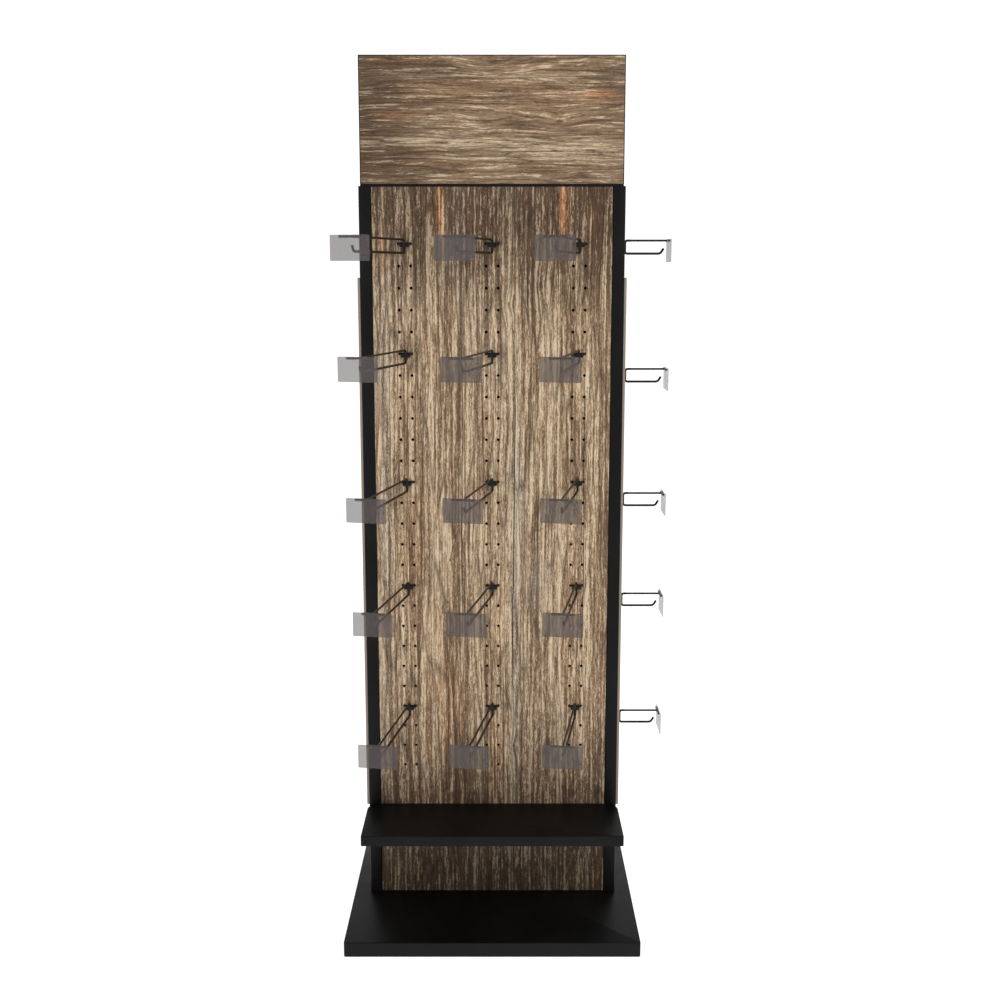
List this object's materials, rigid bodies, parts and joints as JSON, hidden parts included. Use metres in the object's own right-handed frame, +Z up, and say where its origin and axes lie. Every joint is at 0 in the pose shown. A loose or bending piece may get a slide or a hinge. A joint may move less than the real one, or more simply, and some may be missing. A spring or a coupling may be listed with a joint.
{
  "type": "pegboard display stand",
  "caption": "Floor-standing pegboard tower with wood-look perforated panels, black steel base, shelf, header board and wire hooks carrying hinged clear label plates.",
  "frame": {"origin": "middle of the lower rim of the base tray, on the floor", "axes": "+Z up, the front with the shelf faces -Y, +X to the right as seen from the front"},
  "size_m": [0.6805, 0.664, 1.825],
  "materials": {
    "black_powder_coat": "fine-texture matt black powder coat on folded steel",
    "wood_laminate": "weathered-oak laminate, upright grain, satin",
    "wood_laminate_header": "weathered-oak laminate, level grain, satin",
    "black_wire": "semi-gloss black coat on steel wire",
    "clear_plastic": "clear, slightly smoky extruded plastic",
    "zinc_steel": "bright zinc plate",
    "black_screws": "black-oxide steel",
    "black_plastic": "moulded black plastic"
  },
  "bodies": {
    "stand": {"back_pegboard": "wood_laminate", "base_channels": "zinc_steel", "base_pan": "black_powder_coat", "bottom_rails": "black_powder_coat", "centre_divider": "black_powder_coat", "foot_nuts": "zinc_steel", "front_pegboard": "wood_laminate", "header_back_board": "wood_laminate_header", "header_bolts": "zinc_steel", "header_front_board": "wood_laminate_header", "header_screws": "black_screws", "header_shell": "black_powder_coat", "header_strips": "black_powder_coat", "hook_backs": "black_wire", "label_wires": "black_wire", "left_side_board": "wood_laminate", "left_side_plate": "black_powder_coat", "panel_screws": "black_screws", "panel_strips": "black_powder_coat", "post_back_left": "black_powder_coat", "post_back_right": "black_powder_coat", "post_bolts": "zinc_steel", "post_caps": "black_plastic", "post_front_left": "black_powder_coat", "post_front_right": "black_powder_coat", "post_plugs": "zinc_steel", "product_arms": "black_wire", "right_side_board": "wood_laminate", "right_side_plate": "black_powder_coat", "shelf": "black_powder_coat", "shelf_brackets": "black_powder_coat", "shelf_screws": "black_screws", "side_board_screws": "black_screws", "spreader_plates": "zinc_steel", "top_plate": "black_powder_coat", "top_rails": "black_powder_coat"},
    "foot_front_left": {"foot_front_left": "black_plastic"},
    "foot_front_right": {"foot_front_right": "black_plastic"},
    "foot_back_left": {"foot_back_left": "black_plastic"},
    "foot_back_right": {"foot_back_right": "black_plastic"},
    "label_r1_left": {"label_r1_left": "clear_plastic"},
    "label_r1_centre": {"label_r1_centre": "clear_plastic"},
    "label_r1_right": {"label_r1_right": "clear_plastic"},
    "label_r2_left": {"label_r2_left": "clear_plastic"},
    "label_r2_centre": {"label_r2_centre": "clear_plastic"},
    "label_r2_right": {"label_r2_right": "clear_plastic"},
    "label_r3_left": {"label_r3_left": "clear_plastic"},
    "label_r3_centre": {"label_r3_centre": "clear_plastic"},
    "label_r3_right": {"label_r3_right": "clear_plastic"},
    "label_r4_left": {"label_r4_left": "clear_plastic"},
    "label_r4_centre": {"label_r4_centre": "clear_plastic"},
    "label_r4_right": {"label_r4_right": "clear_plastic"},
    "label_r5_left": {"label_r5_left": "clear_plastic"},
    "label_r5_centre": {"label_r5_centre": "clear_plastic"},
    "label_r5_right": {"label_r5_right": "clear_plastic"},
    "label_r1_side": {"label_r1_side": "clear_plastic"},
    "label_r2_side": {"label_r2_side": "clear_plastic"},
    "label_r3_side": {"label_r3_side": "clear_plastic"},
    "label_r4_side": {"label_r4_side": "clear_plastic"},
    "label_r5_side": {"label_r5_side": "clear_plastic"}
  },
  "joints": [
    {"name": "foot_front_left_travel", "type": "slide", "parent": "stand", "child": "foot_front_left", "axis": [0, 0, -1], "range_m": [0, 0.01]},
    {"name": "foot_front_right_travel", "type": "slide", "parent": "stand", "child": "foot_front_right", "axis": [0, 0, -1], "range_m": [0, 0.01]},
    {"name": "foot_back_left_travel", "type": "slide", "parent": "stand", "child": "foot_back_left", "axis": [0, 0, -1], "range_m": [0, 0.01]},
    {"name": "foot_back_right_travel", "type": "slide", "parent": "stand", "child": "foot_back_right", "axis": [0, 0, -1], "range_m": [0, 0.01]},
    {"name": "swing_r1_left", "type": "hinge", "parent": "stand", "child": "label_r1_left", "pos_m": [-0.2616, -0.33715, 1.462], "axis": [-0.9516, 0.3074, 0], "range_deg": [-5, 90]},
    {"name": "swing_r1_centre", "type": "hinge", "parent": "stand", "child": "label_r1_centre", "pos_m": [-0.06692, -0.34143, 1.462], "axis": [-0.9677, 0.2521, 0], "range_deg": [-5, 90]},
    {"name": "swing_r1_right", "type": "hinge", "parent": "stand", "child": "label_r1_right", "pos_m": [0.11802, -0.34266, 1.462], "axis": [-0.9724, 0.2334, 0], "range_deg": [-5, 90]},
    {"name": "swing_r2_left", "type": "hinge", "parent": "stand", "child": "label_r2_left", "pos_m": [-0.2514, -0.34022, 1.237], "axis": [-0.9632, 0.2689, 0], "range_deg": [-5, 90]},
    {"name": "swing_r2_centre", "type": "hinge", "parent": "stand", "child": "label_r2_centre", "pos_m": [-0.05701, -0.34381, 1.237], "axis": [-0.9767, 0.2147, 0], "range_deg": [-5, 90]},
    {"name": "swing_r2_right", "type": "hinge", "parent": "stand", "child": "label_r2_right", "pos_m": [0.12979, -0.34521, 1.237], "axis": [-0.982, 0.1891, 0], "range_deg": [-5, 90]},
    {"name": "swing_r3_left", "type": "hinge", "parent": "stand", "child": "label_r3_left", "pos_m": [-0.23972, -0.34319, 0.967], "axis": [-0.9744, 0.225, 0], "range_deg": [-5, 90]},
    {"name": "swing_r3_centre", "type": "hinge", "parent": "stand", "child": "label_r3_centre", "pos_m": [-0.05429, -0.34439, 0.967], "axis": [-0.9789, 0.2045, 0], "range_deg": [-5, 90]},
    {"name": "swing_r3_right", "type": "hinge", "parent": "stand", "child": "label_r3_right", "pos_m": [0.13298, -0.3458, 0.967], "axis": [-0.9842, 0.1771, 0], "range_deg": [-5, 90]},
    {"name": "swing_r4_left", "type": "hinge", "parent": "stand", "child": "label_r4_left", "pos_m": [-0.23066, -0.34512, 0.742], "axis": [-0.9816, 0.1908, 0], "range_deg": [-5, 90]},
    {"name": "swing_r4_centre", "type": "hinge", "parent": "stand", "child": "label_r4_centre", "pos_m": [-0.04929, -0.34538, 0.742], "axis": [-0.9826, 0.1857, 0], "range_deg": [-5, 90]},
    {"name": "swing_r4_right", "type": "hinge", "parent": "stand", "child": "label_r4_right", "pos_m": [0.13847, -0.34673, 0.742], "axis": [-0.9877, 0.1564, 0], "range_deg": [-5, 90]},
    {"name": "swing_r5_left", "type": "hinge", "parent": "stand", "child": "label_r5_left", "pos_m": [-0.22519, -0.34613, 0.472], "axis": [-0.9854, 0.1702, 0], "range_deg": [-5, 90]},
    {"name": "swing_r5_centre", "type": "hinge", "parent": "stand", "child": "label_r5_centre", "pos_m": [-0.04473, -0.3462, 0.472], "axis": [-0.9857, 0.1685, 0], "range_deg": [-5, 90]},
    {"name": "swing_r5_right", "type": "hinge", "parent": "stand", "child": "label_r5_right", "pos_m": [0.1403, -0.34702, 0.472], "axis": [-0.9888, 0.1495, 0], "range_deg": [-5, 90]},
    {"name": "swing_r1_side", "type": "hinge", "parent": "stand", "child": "label_r1_side", "pos_m": [0.3695, 0, 1.462], "axis": [0, -1, 0], "range_deg": [-5, 90]},
    {"name": "swing_r2_side", "type": "hinge", "parent": "stand", "child": "label_r2_side", "pos_m": [0.3695, 0, 1.192], "axis": [0, -1, 0], "range_deg": [-5, 90]},
    {"name": "swing_r3_side", "type": "hinge", "parent": "stand", "child": "label_r3_side", "pos_m": [0.3695, 0, 0.922], "axis": [0, -1, 0], "range_deg": [-5, 90]},
    {"name": "swing_r4_side", "type": "hinge", "parent": "stand", "child": "label_r4_side", "pos_m": [0.3695, 0, 0.697], "axis": [0, -1, 0], "range_deg": [-5, 90]},
    {"name": "swing_r5_side", "type": "hinge", "parent": "stand", "child": "label_r5_side", "pos_m": [0.3695, 0, 0.427], "axis": [0, -1, 0], "range_deg": [-5, 90]}
  ]
}
